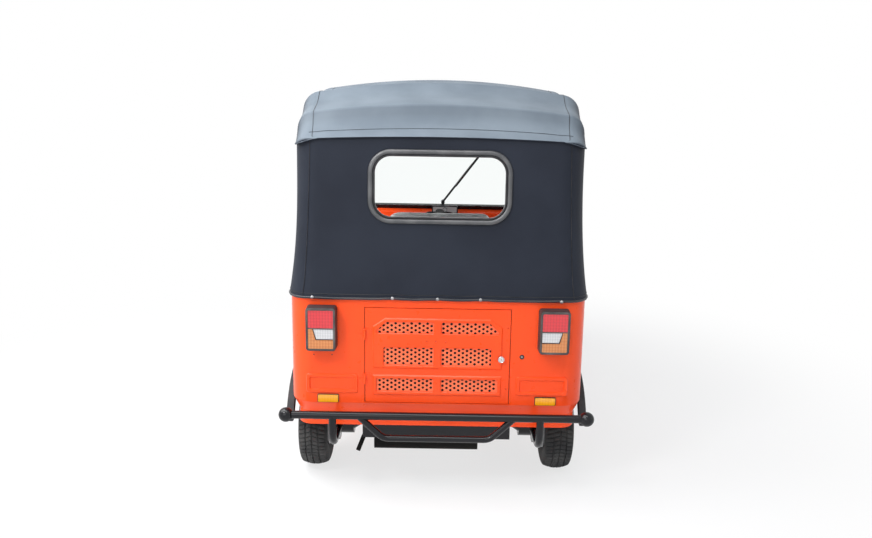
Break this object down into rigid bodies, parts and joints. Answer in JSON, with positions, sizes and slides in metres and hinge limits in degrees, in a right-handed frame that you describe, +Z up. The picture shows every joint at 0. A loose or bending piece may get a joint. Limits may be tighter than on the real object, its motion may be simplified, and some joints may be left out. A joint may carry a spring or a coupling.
{
  "type": "auto rickshaw",
  "caption": "Three-wheeled passenger taxi with an open-sided cabin, canvas hood with rear window, perforated rear engine door, tube bumper and handlebar steering.",
  "frame": {"origin": "on the ground under the middle of the overall box", "axes": "+X to the vehicle's right seen from behind, +Y forward, +Z up"},
  "size_m": [1.3258, 2.6999, 1.7968],
  "materials": {
    "body_paint": "gloss",
    "grille_paint": "gloss",
    "bright_metal": "polished",
    "black_paint": "satin",
    "hot_black": "matte",
    "cast_alloy": "cast",
    "rim_steel": "satin",
    "tyre": "matte",
    "black_rubber": "matte",
    "black_plastic": "satin",
    "red_lens": "gloss",
    "amber_lens": "gloss",
    "clear_lens": "gloss",
    "canvas": "satin coated",
    "clear_glass": "gloss",
    "seat_vinyl": "satin"
  },
  "bodies": {
    "body": {"tail_panel": "body_paint", "quarter_left": "body_paint", "quarter_right": "body_paint", "floor_pan": "body_paint", "front_bulkhead": "body_paint", "front_cowl": "body_paint", "dashboard": "body_paint", "partition_panel": "body_paint", "passenger_seat_base": "body_paint", "driver_seat_base": "body_paint", "windscreen_frame": "black_paint", "steering_head": "black_paint", "rear_bumper": "black_paint", "underframe": "black_paint", "hood_frame": "black_paint", "partition_rail": "black_paint", "trailing_arm_left": "black_paint", "trailing_arm_right": "black_paint", "rear_damper_left": "black_paint", "rear_damper_right": "black_paint", "drive_shaft_left": "black_paint", "drive_shaft_right": "black_paint", "silencer": "hot_black", "engine": "cast_alloy", "arch_flare_left": "black_rubber", "arch_flare_right": "black_rubber", "rear_window_seal": "black_rubber", "tail_lamp_housings": "black_plastic", "instrument_cluster": "black_plastic", "wiper": "black_plastic", "tail_lamp_red": "red_lens", "tail_lamp_amber": "amber_lens", "tail_lamp_clear": "clear_lens", "rear_reflectors": "amber_lens", "front_indicators": "amber_lens", "headlamps": "clear_lens", "hood_top": "canvas", "rear_curtain": "canvas", "rear_window": "clear_glass", "windscreen": "clear_glass", "passenger_cushion": "seat_vinyl", "passenger_backrest": "seat_vinyl", "driver_cushion": "seat_vinyl", "driver_backrest": "seat_vinyl"},
    "engine_door": {"engine_door": "body_paint", "door_lock": "bright_metal", "door_grilles": "grille_paint"},
    "steering": {"steering_fork": "black_paint", "front_link": "black_paint", "front_mudguard": "body_paint", "handlebar": "black_paint", "handlebar_grips": "black_rubber"},
    "front_wheel": {"front_tyre": "tyre", "front_rim": "rim_steel"},
    "rear_left_wheel": {"rear_left_tyre": "tyre", "rear_left_rim": "rim_steel"},
    "rear_right_wheel": {"rear_right_tyre": "tyre", "rear_right_rim": "rim_steel"}
  },
  "joints": [
    {"name": "engine_door_hinge", "type": "hinge", "parent": "body", "child": "engine_door", "pos_m": [-0.3075, -1.246, 0.64], "axis": [0, 0, -1], "range_deg": [0, 110]},
    {"name": "steering_turn", "type": "hinge", "parent": "body", "child": "steering", "pos_m": [0, 1.045, 0.207], "axis": [0, -0.454, 0.891], "range_deg": [-42, 42]},
    {"name": "front_wheel_spin", "type": "hinge", "parent": "steering", "child": "front_wheel", "pos_m": [0, 1.091, 0.207], "axis": [-1, 0, 0], "continuous": true},
    {"name": "rear_left_wheel_spin", "type": "hinge", "parent": "body", "child": "rear_left_wheel", "pos_m": [-0.562, -0.894, 0.207], "axis": [-1, 0, 0], "continuous": true},
    {"name": "rear_right_wheel_spin", "type": "hinge", "parent": "body", "child": "rear_right_wheel", "pos_m": [0.562, -0.894, 0.207], "axis": [-1, 0, 0], "continuous": true}
  ]
}
